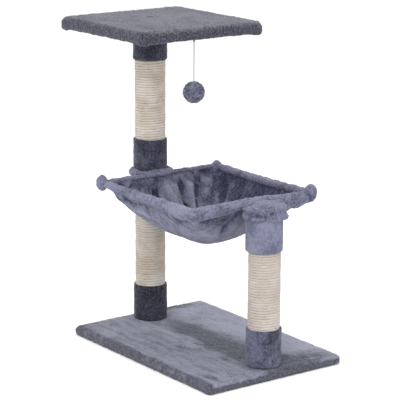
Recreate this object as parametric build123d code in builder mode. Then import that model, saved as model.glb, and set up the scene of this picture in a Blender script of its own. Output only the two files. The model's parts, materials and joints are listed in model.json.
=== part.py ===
"""A small cat tree: a plush-covered base, two sisal posts with a hammock slung between them,
an upper post that carries a padded perch, and a plush ball on a string under the perch.

Millimetres, +Z up. The origin is on the floor, at the centre of the rectangle that the whole
object covers seen from above. +X runs from the tall post to the short one, and the object is
built about the plane Y = 0, apart from the ball, which hangs a little to one side.
"""

import os

from build123d import *

# ---- driving dimensions -------------------------------------------------------------------
base_length, base_width, base_height = 519.0, 359.0, 22.0
perch_side, perch_height = 325.0, 28.0
perch_overhang = 72.5  # how far the perch reaches past the base's edge
post_spacing = 425.0
sisal_radius = 35.0
lower_post_length, upper_post_length = 345.0, 325.0
rail_length, rail_width = 345.0, 324.0  # the hammock's frame, between wire centres
ball_radius = 24.4
swing_arm = 112.5  # from the knot's centre to the ball's centre

# ---- fabric, boards and rope --------------------------------------------------------------
plush = 5.0  # fabric and pile over a board
wrap = 2.0  # the same fabric pressed flat under a board
wrap_width = 25.0
board = 15.0
board_corner, cover_corner = 3.0, 8.0
collar = 3.5  # plush wound over the rope's ends
rope_depth = 5.0  # 6 mm sisal, flattened by its own tension
tube_wall = 3.0
collar_radius = sisal_radius + collar
tube_radius = sisal_radius - rope_depth
plug_radius = tube_radius - tube_wall
plug_height = 20.0

# ---- fasteners ----------------------------------------------------------------------------
bolt_radius = 4.0  # M8 throughout
bolt_clearance = 4.3
head_radius, head_height = 6.5, 5.0
thin_head = 3.2  # the hammock bolt's head, under its cap of cloth
hex_radius, hex_depth = 3.4, 3.0
washer_radius, washer_height = 10.0, 1.6
counterbore_radius, counterbore_depth = 10.5, 7.0
insert_radius, insert_length = 6.0, 16.0
perch_hole = 7.0  # the dimple in the perch's cover, over its bolt
staple_crown, staple_wire, staple_thick, staple_leg = 10.0, 1.0, 0.8, 7.0
staple_sink = 0.2  # the crown lies this far inside the pressed fabric

# ---- hammock ------------------------------------------------------------------------------
wire_radius = 3.0
wire_corner = 12.0
sleeve_radius = 11.0
knob_radius, knob_height = 13.5, 34.0  # a bunch of tied cloth, taller than it is wide
knob_inset = 2.0
knob_drop = 2.0  # how far its middle hangs below the wire
sling_wall = 4.0
sling_levels = (  # height above the floor, size as a share of the rail, corner radius
    (361.0, 0.985, 26.0),
    (336.0, 0.86, 42.0),
    (317.0, 0.745, 46.0),
    (298.0, 0.61, 44.0),
    (281.0, 0.44, 36.0),
    (266.0, 0.25, 22.0),
    (257.0, 0.11, 10.0),
)
tab_width, tab_height, tab_end = 40.0, 3.0, 16.0
flap_radius, flap_height = 48.0, 10.0
flap_skirt = 17.0  # how far the short post's cap hangs over its collar
cap_rise = 5.0  # how far that cap bulges over the bolt's head

# ---- toy ----------------------------------------------------------------------------------
string_radius = 1.1
knot_radius = 2.5
gap = 0.3  # between pieces that turn on each other
toy_edge, toy_side = 22.5, -11.0  # in from the perch's front edge, and along Y
anchor_drop = 1.9
core_radius = 20.0
string_sink = 3.0  # how deep the string's end goes into the ball's cover

# ---- places -------------------------------------------------------------------------------
cap_overhang = flap_radius - (base_length - post_spacing) / 2  # the short post's cap past the base
base_x = (perch_overhang - cap_overhang) / 2
left_x = base_x - base_length / 2 - perch_overhang  # the perch's far edge
perch_x = left_x + perch_side / 2
back_x, front_x = base_x - post_spacing / 2, base_x + post_spacing / 2
joint_low = base_height + lower_post_length
joint_high = joint_low + flap_height
rail_z = (joint_low + joint_high) / 2
tab_top = rail_z + tab_height / 2
perch_low = joint_high + upper_post_length - wrap
perch_high = perch_low + perch_height
perch_board_top = perch_low + wrap + board
anchor_low = perch_low - anchor_drop
knot_x = perch_x + perch_side / 2 - toy_edge
knot_z = anchor_low - gap - knot_radius
ball_z = knot_z - swing_arm

ON_FLOOR = (Align.CENTER, Align.CENTER, Align.MIN)


def write(name, builder):
    """Labels a finished piece and writes it to its own file."""
    builder.part.label = name
    export_step(builder.part, f"parts/{name}.step")


def column(x, low, radius, height, mode=Mode.ADD, y=0.0):
    """Adds an upright cylinder to the open part, or cuts it away."""
    with Locations((x, y, low)):
        Cylinder(radius, height, align=ON_FLOOR, mode=mode)


os.makedirs("parts", exist_ok=True)


# ---- base and perch: staples, board, plush cover --------------------------------------------
def staple_spots(length, width, along, across):
    """(x, y, turn) of each staple in the folded edge under a board."""
    x, y = length / 2 - plush - wrap_width / 2, width / 2 - plush - wrap_width / 2
    spots = []
    for i in range(along):
        step = -x + 2 * x * (i + 0.5) / along
        spots += [(step, y, 0), (step, -y, 0)]
    for i in range(across):
        step = -y + 2 * y * (i + 0.5) / across
        spots += [(x, step, 90), (-x, step, 90)]
    return spots


def add_staple(x, y, turn, low, crown_height, leg_high):
    """Adds a staple to the open part: a crown that lies along X before its turn, and two legs."""
    leg_x = (staple_crown - staple_thick) / 2
    with Locations(Location((x, y, low), (0, 0, turn))):
        Box(staple_crown, staple_wire, crown_height, align=ON_FLOOR)
    for side in (-leg_x, leg_x):
        leg_place = Location((x, y, low), (0, 0, turn)) * Location((side, 0, 0))
        with Locations(leg_place):
            Box(staple_thick, staple_wire, leg_high - low, align=ON_FLOOR)


with BuildPart() as toy_anchor:
    add_staple(knot_x, toy_side, 90, anchor_low, staple_wire, perch_low + staple_leg)
write("toy_anchor_staple", toy_anchor)


def make_panel(name, centre_x, low, length, width, height, along, across):
    """Writes the staples, the board and the cover of the base or the perch."""
    is_base = name == "base"
    bolts_x = (back_x, front_x) if is_base else (back_x,)
    spots = [(centre_x + x, y, turn) for x, y, turn in staple_spots(length, width, along, across)]
    board_low = low + wrap
    inner_length, inner_width = length - 2 * plush, width - 2 * plush
    leg_high = low + staple_sink + staple_leg

    with BuildPart() as staples:
        for x, y, turn in spots:
            add_staple(x, y, turn, low + staple_sink, staple_thick, leg_high)
    write(f"{name}_staples", staples)

    with BuildPart() as pockets:
        for x, y, turn in spots:
            add_staple(x, y, turn, low, staple_sink + staple_thick, leg_high)

    with BuildPart() as core:
        with BuildSketch(Plane.XY.offset(board_low)):
            with Locations((centre_x, 0)):
                RectangleRounded(inner_length, inner_width, board_corner)
        extrude(amount=board)
        for x in bolts_x:
            column(x, board_low, bolt_clearance, board, Mode.SUBTRACT)
            if is_base:
                column(x, board_low, counterbore_radius, counterbore_depth, Mode.SUBTRACT)
        add(staples.part, mode=Mode.SUBTRACT)
        add(toy_anchor.part, mode=Mode.SUBTRACT)
    write(f"{name}_board", core)

    with BuildPart() as cover:
        with BuildSketch(Plane.XY.offset(low)):
            with Locations((centre_x, 0)):
                RectangleRounded(length, width, cover_corner)
        extrude(amount=height)
        fillet(cover.faces().sort_by(Axis.Z)[-1].edges(), 4.5)
        fillet(cover.faces().sort_by(Axis.Z)[0].edges(), 2.5)
        with BuildSketch(Plane.XY.offset(board_low)):
            with Locations((centre_x, 0)):
                RectangleRounded(inner_length, inner_width, board_corner)
        extrude(amount=height - wrap - plush, mode=Mode.SUBTRACT)
        with BuildSketch(Plane.XY.offset(low)):
            with Locations((centre_x, 0)):
                RectangleRounded(inner_length - 2 * wrap_width, inner_width - 2 * wrap_width, 4)
        extrude(amount=wrap, mode=Mode.SUBTRACT)
        for x in bolts_x:
            hole_radius = bolt_clearance if is_base else perch_hole
            column(x, low + height - plush, hole_radius, plush, Mode.SUBTRACT)
        add(pockets.part, mode=Mode.SUBTRACT)
        add(toy_anchor.part, mode=Mode.SUBTRACT)
    write(f"{name}_cover", cover)


make_panel("base", base_x, 0.0, base_length, base_width, base_height, 9, 6)
make_panel("perch", perch_x, perch_low, perch_side, perch_side, perch_height, 5, 4)

with BuildPart() as perch_pad:
    with BuildSketch(Plane.XY.offset(perch_board_top)):
        with Locations((perch_x, 0)):
            RectangleRounded(perch_side - 2 * plush, perch_side - 2 * plush, board_corner)
        with Locations((back_x, 0)):
            Circle(washer_radius + 1, mode=Mode.SUBTRACT)
    extrude(amount=perch_high - plush - perch_board_top)
write("perch_pad", perch_pad)


# ---- posts: cardboard tube, wooden plugs, sisal, plush collars ------------------------------
def make_ring(name, x, low, height, outer, inner, rounding=0.0):
    """Writes an upright ring about a post's axis."""
    with BuildPart() as piece:
        with BuildSketch(Plane.XY.offset(low)):
            with Locations((x, 0)):
                Circle(outer)
                Circle(inner, mode=Mode.SUBTRACT)
        extrude(amount=height)
        if rounding:
            rims = piece.edges().filter_by(GeomType.CIRCLE).group_by(SortBy.RADIUS)[-1]
            fillet(rims, rounding)
    write(name, piece)


posts = {  # axis, foot, length, height of the bottom collar, height of the top collar
    "back_lower": (back_x, base_height, lower_post_length, 84.0, 91.0),
    "front": (front_x, base_height, lower_post_length, 84.0, 91.0),
    "back_upper": (back_x, joint_high, upper_post_length, 73.5, 71.0),
}
insert_places = []
for post, (x, low, length, bottom_collar, top_collar) in posts.items():
    high = low + length
    make_ring(f"{post}_tube", x, low, length, tube_radius, plug_radius)
    make_ring(f"{post}_bottom_plug", x, low, plug_height, plug_radius, insert_radius)
    make_ring(f"{post}_top_plug", x, high - plug_height, plug_height, plug_radius, insert_radius)
    make_ring(f"{post}_sisal", x, low, length, sisal_radius, tube_radius)
    make_ring(f"{post}_bottom_collar", x, low, bottom_collar, collar_radius, sisal_radius, 2.5)
    make_ring(f"{post}_top_collar", x, high - top_collar, top_collar, collar_radius, sisal_radius, 2.5)
    insert_places += [(x, low), (x, high - insert_length)]

with BuildPart() as threaded_inserts:
    for x, low in insert_places:
        column(x, low, insert_radius, insert_length)
        column(x, low, bolt_radius, insert_length, Mode.SUBTRACT)
write("threaded_inserts", threaded_inserts)


# ---- bolts, washers and the stud ------------------------------------------------------------
def make_bolts(name, xs, seat, tip, head):
    """Writes a bolt and a washer for each x: the washer lies on seat and the thread ends at tip."""
    up = tip > seat
    washer_low = seat - washer_height if up else seat
    head_low = washer_low - head if up else washer_low + washer_height
    shank_low, shank_high = min(head_low + head, tip), max(head_low, tip)
    hex_plane = Plane.XY.offset(head_low if up else head_low + head)
    socket = min(hex_depth, head - 1)
    with BuildPart() as bolts:
        for x in xs:
            column(x, shank_low, bolt_radius, shank_high - shank_low)
            column(x, head_low, head_radius, head)
        with BuildSketch(hex_plane):
            with Locations(*[(x, 0) for x in xs]):
                RegularPolygon(hex_radius, 6)
        extrude(amount=socket if up else -socket, mode=Mode.SUBTRACT)
    write(f"{name}_bolts" if len(xs) > 1 else f"{name}_bolt", bolts)

    with BuildPart() as washers:
        for x in xs:
            column(x, washer_low, washer_radius, washer_height)
            column(x, washer_low, bolt_clearance, washer_height, Mode.SUBTRACT)
    write(f"{name}_washers" if len(xs) > 1 else f"{name}_washer", washers)


make_bolts("base", (back_x, front_x), wrap + counterbore_depth, base_height + insert_length, head_height)
make_bolts("hammock", (front_x,), tab_top, joint_low - insert_length, thin_head)
make_bolts("perch", (back_x,), perch_board_top, perch_low + wrap - insert_length, head_height)

with BuildPart() as joining_stud:
    column(back_x, joint_low - insert_length, bolt_radius, flap_height + 2 * insert_length)
write("joining_stud", joining_stud)


# ---- hammock: wire frame, corner knobs, rolled sleeves, sling, end flaps --------------------
with BuildPart() as hammock_frame:
    with BuildSketch(Plane.XY.offset(rail_z), mode=Mode.PRIVATE) as rail:
        with Locations((base_x, 0)):
            RectangleRounded(rail_length, rail_width, wire_corner)
    route = rail.sketch.face().outer_wire()
    with BuildSketch(Plane(route @ 0, z_dir=route % 0)):
        Circle(wire_radius)
    sweep(path=route)
    for x, side in ((back_x, -1), (front_x, 1)):
        rail_x = base_x + side * rail_length / 2
        tab_length = abs(x - rail_x) + tab_end
        with Locations((rail_x + side * tab_length / 2, 0, rail_z)):
            Box(tab_length, tab_width, tab_height)
        column(x, rail_z - tab_height, bolt_clearance, 2 * tab_height, Mode.SUBTRACT)
write("hammock_frame", hammock_frame)

knob_x, knob_y = rail_length / 2 - knob_inset, rail_width / 2 - knob_inset
with BuildPart() as knob_shapes:
    for x in (base_x - knob_x, base_x + knob_x):
        for y in (-knob_y, knob_y):
            with Locations((x, y, rail_z - knob_drop)):
                Cylinder(knob_radius, knob_height)
    fillet(knob_shapes.edges().filter_by(GeomType.CIRCLE), 0.95 * knob_radius)

with BuildPart() as hammock_knobs:
    add(knob_shapes.part)
    add(hammock_frame.part, mode=Mode.SUBTRACT)
write("hammock_corner_knobs", hammock_knobs)

sleeves = {  # centre, length and turn about Z
    "hammock_left_sleeve": (base_x, -rail_width / 2, 2 * knob_x - knob_radius, 0),
    "hammock_right_sleeve": (base_x, rail_width / 2, 2 * knob_x - knob_radius, 0),
    "hammock_back_sleeve": (base_x - rail_length / 2, 0, 2 * knob_y - knob_radius, 90),
    "hammock_front_sleeve": (base_x + rail_length / 2, 0, 2 * knob_y - knob_radius, 90),
}
for name, (x, y, length, turn) in sleeves.items():
    with BuildPart() as sleeve:
        with Locations(Location((x, y, rail_z), (0, 0, turn))):
            Cylinder(sleeve_radius, length, rotation=(0, 90, 0))
        add(knob_shapes.part, mode=Mode.SUBTRACT)
        add(hammock_frame.part, mode=Mode.SUBTRACT)
        for post_x in (back_x, front_x):  # the roll is pressed flat against the posts
            column(post_x, rail_z - sleeve_radius, collar_radius, 2 * sleeve_radius, Mode.SUBTRACT)
    write(name, sleeve)

with BuildPart() as hammock_sling:
    for z, share, corner in sling_levels:
        with BuildSketch(Plane.XY.offset(z)):
            with Locations((base_x, 0)):
                RectangleRounded(share * rail_length, share * rail_width, corner)
    loft(ruled=True)
    for z, share, corner in sling_levels[:-1]:
        with BuildSketch(Plane.XY.offset(z)):
            inner = (share * rail_length - 2 * sling_wall, share * rail_width - 2 * sling_wall)
            with Locations((base_x, 0)):
                RectangleRounded(*inner, corner - sling_wall)
    loft(ruled=True, mode=Mode.SUBTRACT)
    add(knob_shapes.part, mode=Mode.SUBTRACT)
write("hammock_sling", hammock_sling)

with BuildPart() as flap_back:
    column(back_x, joint_low, flap_radius, flap_height)
    fillet(flap_back.edges().filter_by(GeomType.CIRCLE), 3)
    column(back_x, joint_low, bolt_clearance, flap_height, Mode.SUBTRACT)
    with Locations((base_x - rail_length / 2, 0, rail_z)):
        Box(sleeve_radius * 2, 4 * flap_radius, 2 * flap_height, mode=Mode.SUBTRACT)
    add(hammock_frame.part, mode=Mode.SUBTRACT)
write("hammock_back_flap", flap_back)

cap_low, cap_high = joint_low - flap_skirt, joint_high + cap_rise
with BuildPart() as flap_front:
    with BuildSketch(Plane.XZ):
        with BuildLine():
            Polyline((0, cap_high), (0, cap_low), (flap_radius, cap_low), (flap_radius, rail_z))
            Spline((flap_radius, rail_z), (0, cap_high), tangents=((0, 1), (-1, 0)))
        make_face()
    revolve(axis=Axis.Z)
with BuildPart() as front_cap:
    with Locations((front_x, 0, 0)):
        add(flap_front.part)
    column(front_x, cap_low, collar_radius, flap_skirt, Mode.SUBTRACT)
    column(front_x, joint_low, bolt_clearance, flap_height, Mode.SUBTRACT)
    column(front_x, tab_top, counterbore_radius, washer_height + thin_head + gap, Mode.SUBTRACT)
    with Locations((base_x + rail_length / 2, 0, rail_z)):
        Box(sleeve_radius * 2, 4 * flap_radius, 6 * flap_height, mode=Mode.SUBTRACT)
    add(hammock_frame.part, mode=Mode.SUBTRACT)
write("hammock_front_flap", front_cap)


# ---- toy: knot under its staple, string, ball of filling in a plush cover -------------------
with BuildPart() as toy_knot:
    with Locations((knot_x, toy_side, knot_z)):
        Sphere(knot_radius)
write("toy_knot", toy_knot)

string_high = knot_z - knot_radius - gap
string_low = ball_z + ball_radius - string_sink
with BuildPart() as toy_string:
    column(knot_x, string_low, string_radius, string_high - string_low, y=toy_side)
write("toy_string", toy_string)

with BuildPart() as toy_core:
    with Locations((knot_x, toy_side, ball_z)):
        Sphere(core_radius)
write("toy_ball_filling", toy_core)

with BuildPart() as toy_cover:
    with Locations((knot_x, toy_side, ball_z)):
        Sphere(ball_radius)
        Sphere(core_radius, mode=Mode.SUBTRACT)
    column(knot_x, string_low - gap, string_radius + gap, 2 * string_sink, Mode.SUBTRACT, toy_side)
write("toy_ball_cover", toy_cover)

print(f"string {string_high - string_low:.1f} mm, straight, from z {string_high:.1f} to {string_low:.1f}")
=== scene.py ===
# %% [markdown]
# # A small cat tree
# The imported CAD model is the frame: boards, tubes, bolts and the hammock's wire are already there,
# in metres. This script adds what a maker sews, winds and ties round them: plush covers, sisal
# rope, the hammock's cloth and the ball on its string. It also gives every piece its finish.

# %% The frame and the modules
import json
import math

import bpy
import numpy as np
from mathutils import Matrix, Vector


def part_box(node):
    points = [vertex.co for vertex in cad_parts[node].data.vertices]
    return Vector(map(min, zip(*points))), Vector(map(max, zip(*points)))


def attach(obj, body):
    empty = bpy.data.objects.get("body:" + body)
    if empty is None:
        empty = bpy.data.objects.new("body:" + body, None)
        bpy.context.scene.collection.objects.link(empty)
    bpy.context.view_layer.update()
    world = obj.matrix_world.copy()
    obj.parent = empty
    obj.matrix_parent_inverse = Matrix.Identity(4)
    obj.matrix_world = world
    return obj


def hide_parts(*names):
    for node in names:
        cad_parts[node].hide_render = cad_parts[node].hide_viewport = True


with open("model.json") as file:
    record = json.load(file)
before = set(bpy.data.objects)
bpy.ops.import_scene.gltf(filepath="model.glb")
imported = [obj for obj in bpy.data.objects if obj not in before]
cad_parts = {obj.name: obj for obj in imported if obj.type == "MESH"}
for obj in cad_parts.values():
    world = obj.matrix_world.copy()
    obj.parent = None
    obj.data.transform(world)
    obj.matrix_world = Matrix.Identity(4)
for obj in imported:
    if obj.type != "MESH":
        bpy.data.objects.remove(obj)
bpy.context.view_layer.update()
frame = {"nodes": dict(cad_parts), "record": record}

# %% [markdown]
# ## Camera, floor and light
# A long lens from four metres keeps the posts nearly parallel. The floor is a plain pale sheet, and
# large soft lamps stand round the object, as in a studio that shoots furniture on white.

# %% Camera
LENS, SENSOR = 163.8, 36.0
CAMERA_PLACE = Vector((3.1728, -2.3334, 1.2817))
LOOK_YAW, LOOK_PITCH, LOOK_ROLL = 143.53, -13.48, 0.28

bpy.ops.object.camera_add()
camera = bpy.context.object
camera.data.sensor_width = SENSOR
camera.data.lens = LENS
camera.matrix_world = (
    Matrix.Translation(CAMERA_PLACE)
    @ Matrix.Rotation(math.radians(LOOK_YAW - 90), 4, "Z")
    @ Matrix.Rotation(math.radians(90 + LOOK_PITCH), 4, "X")
    @ Matrix.Rotation(math.radians(LOOK_ROLL), 4, "Z")
)
bpy.context.scene.camera = camera


# %% Floor and lamps
def aim(lamp, target):
    """Turns a lamp towards a point."""
    lamp.rotation_euler = (Vector(target) - lamp.location).to_track_quat("-Z", "Y").to_euler()


def add_lamp(name, place, width, watts):
    """Adds a square area lamp that looks at the middle of the object."""
    bpy.ops.object.light_add(type="AREA", location=place)
    lamp = bpy.context.object
    lamp.name = name
    lamp.data.size = width
    lamp.data.energy = watts
    aim(lamp, (0, 0, 0.35))
    return lamp


bpy.ops.mesh.primitive_plane_add(size=30, location=(0, 0, -0.0005))
floor = bpy.context.object
floor.name = "studio_floor"
paper = bpy.data.materials.new("white_paper")
paper.use_nodes = True
paper.node_tree.nodes["Principled BSDF"].inputs["Base Color"].default_value = (0.97, 0.97, 0.97, 1)
paper.node_tree.nodes["Principled BSDF"].inputs["Roughness"].default_value = 1.0
floor.data.materials.append(paper)
add_lamp("key_lamp", (2.0, -2.8, 3.0), 2.2, 84)
add_lamp("fill_lamp", (4.0, 0.8, 1.6), 2.6, 22)
add_lamp("top_lamp", (-0.4, 0.4, 3.6), 2.4, 38)

world = bpy.data.worlds.new("studio_air")
world.use_nodes = True
world.node_tree.nodes["Background"].inputs["Color"].default_value = (1, 1, 1, 1)
world.node_tree.nodes["Background"].inputs["Strength"].default_value = 1.0
bpy.context.scene.world = world
bpy.context.scene.view_settings.view_transform = "Standard"


# %% [markdown]
# ## A short way to write shader maths
# Every finish below mixes noises and masks. Drawn by hand that is a web of Math nodes, so a small
# class wraps a socket and lets it stand in a Python sum: each operator adds its Math node.

# %% Sockets that add, multiply and compare
class Signal:
    """A number that varies over a surface: the output socket of a node in a finish."""

    def __init__(self, finish, socket):
        self.finish = finish
        self.socket = socket

    def maths(self, operation, *values):
        """Adds a Math node with this signal as one of its values."""
        sockets = dict(enumerate(values))
        return self.finish.node("ShaderNodeMath", {"operation": operation}, sockets)

    def __add__(self, other):
        return self.maths("ADD", self, other)

    def __sub__(self, other):
        return self.maths("SUBTRACT", self, other)

    def __rsub__(self, other):
        return self.maths("SUBTRACT", other, self)

    def __mul__(self, other):
        return self.maths("MULTIPLY", self, other)

    def __truediv__(self, other):
        return self.maths("DIVIDE", self, other)

    def __abs__(self):
        return self.maths("ABSOLUTE", self)

    __radd__ = __add__
    __rmul__ = __mul__

    def fract(self):
        """What is left above the whole number."""
        return self.maths("FRACT", self)

    def floor(self):
        return self.maths("FLOOR", self)

    def sine(self):
        return self.maths("SINE", self)

    def smooth(self, low, high):
        """0 below low, 1 above high and an easy slope between, whichever of the two is larger."""
        reach = {"Value": self, "From Min": low, "From Max": high}
        return self.finish.node("ShaderNodeMapRange", {"interpolation_type": "SMOOTHSTEP"}, reach)


def colour(code):
    """A screen colour such as "8d8fa0" as the linear light that shaders work in."""
    parts = [int(code[i : i + 2], 16) / 255 for i in (0, 2, 4)]
    return [p / 12.92 if p <= 0.04045 else ((p + 0.055) / 1.055) ** 2.4 for p in parts] + [1.0]


class Finish:
    """A material that is built one node at a time."""

    def __init__(self, name, roughness=0.9, **fixed):
        self.material = bpy.data.materials.new(name)
        self.material.use_nodes = True
        self.tree = self.material.node_tree
        self.shader = self.tree.nodes["Principled BSDF"]
        self.shader.inputs["Roughness"].default_value = roughness
        for socket, value in fixed.items():
            self.shader.inputs[socket.replace("_", " ")].default_value = value
        self.place = self.node("ShaderNodeTexCoord", out="Object")

    def node(self, kind, settings=None, sockets=None, out=0):
        """Adds any node: its settings first, then the values or links of its sockets."""
        made = self.tree.nodes.new(kind)
        for key, value in (settings or {}).items():
            setattr(made, key, value)
        for key, value in (sockets or {}).items():
            self.feed(made.inputs[key], value)
        return Signal(self, made.outputs[out])

    def feed(self, socket, value):
        """Links a signal to a socket, or sets its value."""
        if isinstance(value, Signal):
            self.tree.links.new(value.socket, socket)
        else:
            socket.default_value = value

    def axes(self):
        """x, y and z of the place on the object."""
        made = self.tree.nodes.new("ShaderNodeSeparateXYZ")
        self.feed(made.inputs[0], self.place)
        return [Signal(self, out) for out in made.outputs]

    def vector(self, x, y, z):
        """A place made from three numbers."""
        return self.node("ShaderNodeCombineXYZ", None, {0: x, 1: y, 2: z})

    def noise(self, size, detail=3.0, shift=0.0, place=None, rough=0.55):
        """Soft noise whose lumps are about size metres across, from 0 to 1."""
        start = {"Vector": place or self.place, "Location": (shift, 2 * shift, -shift)}
        moved = self.node("ShaderNodeMapping", None, start)
        looks = {"Vector": moved, "Scale": 1 / size, "Detail": detail, "Roughness": rough}
        return self.node("ShaderNodeTexNoise", None, looks)

    def spot(self, x, y, middle, reach):
        """1 at a place on the plan, falling softly to 0 at a reach along x and along y."""
        across, along = (x - middle[0]) / reach[0], (y - middle[1]) / reach[1]
        return 1 - (across * across + along * along).smooth(0.0, 1.0)

    def written(self, name):
        """A number that was written to the mesh, point by point."""
        return self.node("ShaderNodeAttribute", {"attribute_name": name}, out=2)

    def mix(self, share, first, second, clamp=True):
        """Blends two colours. Without the clamp, a share above 1 goes past the second colour."""
        settings = {"data_type": "RGBA", "clamp_factor": clamp}
        return self.node("ShaderNodeMix", settings, {0: share, 6: first, 7: second}, out=2)

    def done(self, base, bump=None, depth=0.001, rough=None):
        """Connects the colour and the relief to the shader and returns the material."""
        self.feed(self.shader.inputs["Base Color"], base)
        if rough is not None:
            self.feed(self.shader.inputs["Roughness"], rough)
        if bump is not None:
            relief = {"Height": bump, "Distance": depth, "Strength": 1.0}
            self.feed(self.shader.inputs["Normal"], self.node("ShaderNodeBump", None, relief))
        return self.material


# %% [markdown]
# ## Plush
# Short plush is a knitted back with a dense pile that leans one way or another. Where it leans
# towards the eye it looks dark, and where it leans away it looks pale, so a hand that strokes it
# leaves patches. One recipe makes every plush here: wide patches of nap, tufts a few millimetres
# across, and single fibres, over a shader with sheen for the light that grazes the fibre tips.

# %% The plush recipe
def plush(name, pale, deep, shift, shade=None, patch=0.09, low=0.36, high=0.64, folds=0.0, grain=1.0):
    """Makes a plush finish. shade returns how much darker a place is, or paler if it is below zero;
    folds is how much painted shade lies in the hollows that were written to the mesh, with a painted
    highlight on the ridges, and grain how strong the painted highlight on the tuft tips and the painted
    shade between the tufts are."""
    cloth = Finish(name, 0.95, Sheen_Weight=0.35, Sheen_Roughness=0.45)
    cloth.shader.inputs["Sheen Tint"].default_value = colour("c4c5d2")
    cloth.shader.inputs["Specular IOR Level"].default_value = 0.2
    nap = cloth.noise(patch, 2.0, shift)
    drift = cloth.noise(patch / 4, 3.0, shift + 3)
    tuft = cloth.noise(0.0045, 3.0, shift)
    fibre = cloth.noise(0.0011, 2.0, shift)
    tone = nap * 0.55 + drift * 0.3 + tuft * 0.15
    lean = tone.smooth(low, high)
    if shade is not None:
        lean = lean - shade(cloth)
    # Painted shade in the hollows that were written to the mesh, and a painted highlight on the ridges.
    if folds:
        hollow = cloth.written("hollow")
        lean = lean - hollow.smooth(0.52, 0.78) * folds + (1 - hollow.smooth(0.25, 0.47)) * folds * 0.3
    lean = lean.maths("MAXIMUM", 0.0, lean)
    body = cloth.mix(lean, colour(deep), colour(pale), clamp=False)
    # Painted highlight on the tuft tips, and painted shade between the tufts; grain sets how strong both
    # are.
    tips = (tuft * 0.6 + fibre * 0.4).smooth(0.42, 0.66)
    lit = cloth.mix(tips * (0.35 * grain), body, cloth.mix(0.5, body, colour("b4b6c6")))
    root_shade = (1 - tuft.smooth(0.3, 0.5)) * (0.4 * grain)
    final = cloth.mix(root_shade, lit, cloth.mix(0.55, body, colour("1f2030")))
    return cloth.done(final, tuft * 0.65 + fibre * 0.35, 0.0022)


# %% [markdown]
# ## Hands on the mesh
# A few helpers do what every piece needs: read and write its points, apply its modifiers, raise
# its pile with two sizes of noise, and hand it over to its body with the nodes it stands for. One
# of them writes to the mesh how deep each point lies under its surroundings, so that a finish can
# paint shade into the folds and a painted highlight onto the ridges.

# %% Helpers
def deselect():
    """Leaves edit mode and selects nothing."""
    if bpy.context.object is not None and bpy.context.object.mode != "OBJECT":
        bpy.ops.object.mode_set(mode="OBJECT")
    bpy.ops.object.select_all(action="DESELECT")


def pick(piece):
    """Makes a piece the only one selected, and the active one."""
    deselect()
    piece.select_set(True)
    bpy.context.view_layer.objects.active = piece


def settle(piece, name):
    """Names a new primitive and puts its place, turn and size into its mesh."""
    piece.name = name
    piece.data.name = name
    pick(piece)
    bpy.ops.object.transform_apply(location=True, rotation=True, scale=True)
    return piece


def slope(numbers, low, high):
    """0 below low, 1 above high and an easy rise between."""
    share = np.clip((numbers - low) / (high - low), 0, 1)
    return share * share * (3 - 2 * share)


def get_points(piece):
    """The points of a mesh, one row each."""
    flat = np.empty(len(piece.data.vertices) * 3)
    piece.data.vertices.foreach_get("co", flat)
    return flat.reshape(-1, 3)


def set_points(piece, points):
    """Moves the points of a mesh."""
    piece.data.vertices.foreach_set("co", np.ascontiguousarray(points, float).ravel())
    piece.data.update()


def modify(piece, kind, **settings):
    """Adds a modifier, sets it and applies it."""
    pick(piece)
    change = piece.modifiers.new(kind.lower(), kind)
    for key, value in settings.items():
        setattr(change, key, value)
    bpy.ops.object.modifier_apply(modifier=change.name)


def roughen(piece, height, size, depth=2):
    """Moves the surface in and out by a noise, height in all, with lumps about size across."""
    cloud = bpy.data.textures.new(f"{piece.name}_relief", "CLOUDS")
    cloud.noise_scale = size
    cloud.noise_depth = depth
    modify(piece, "DISPLACE", texture=cloud, texture_coords="LOCAL", strength=height, mid_level=0.5)


def raise_pile(piece, tuft=0.0022, lump=0.002, lump_size=0.03):
    """Gives cloth its uneven thickness and its tufts."""
    roughen(piece, lump, lump_size)
    roughen(piece, tuft, 0.0045, 3)


def thicken(piece, thickness, offset=-1.0):
    """Turns a single surface into cloth with two sides and a closed edge."""
    modify(piece, "SOLIDIFY", thickness=thickness, offset=offset, use_rim=True)


def point_normals(piece):
    """The way the surface faces at each point."""
    flat = np.empty(len(piece.data.vertices) * 3)
    piece.data.vertices.foreach_get("normal", flat)
    return flat.reshape(-1, 3)


def write_numbers(piece, name, numbers):
    """Writes a number to each point, for a finish to read."""
    layer = piece.data.attributes.new(name, "FLOAT", "POINT")
    layer.data.foreach_set("value", np.ascontiguousarray(numbers, np.float32))


def write_hollows(piece, depth, rounds=40):
    """Writes how far each point lies under its surroundings: 0.5 on a flat, 1 deep in a fold."""
    points = get_points(piece)
    ends = np.empty(len(piece.data.edges) * 2, np.int32)
    piece.data.edges.foreach_get("vertices", ends)
    first, second = ends.reshape(-1, 2).T
    count = np.bincount(ends, minlength=len(points))
    soft = points.copy()
    for _ in range(rounds):
        for axis in range(3):
            total = np.bincount(first, soft[second, axis], len(points))
            total += np.bincount(second, soft[first, axis], len(points))
            soft[:, axis] = (soft[:, axis] + total / count) / 2
    under = ((soft - points) * point_normals(piece)).sum(axis=1)
    write_numbers(piece, "hollow", np.clip(0.5 + under / (2 * depth), 0, 1))


def hand_over(piece, body, slot, finish, *nodes):
    """Shades a piece smooth and gives it its finish, its body and the nodes it replaces."""
    pick(piece)
    bpy.ops.object.shade_smooth()
    piece.data.materials.clear()
    piece.data.materials.append(finish)
    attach(piece, body)
    if nodes:
        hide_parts(*nodes)
    size = [round(1000 * v) for v in piece.dimensions]
    print(f"{piece.name}: {len(piece.data.vertices)} points, {size} mm")
    return piece


# %% [markdown]
# ## The string of the toy
# A thin pale cord hangs from its knot under the perch and carries the ball, so it is straight. It is
# a NURBS curve with a round bevel, through the same two ends as the CAD tube, with one more point
# near the knot.

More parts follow.
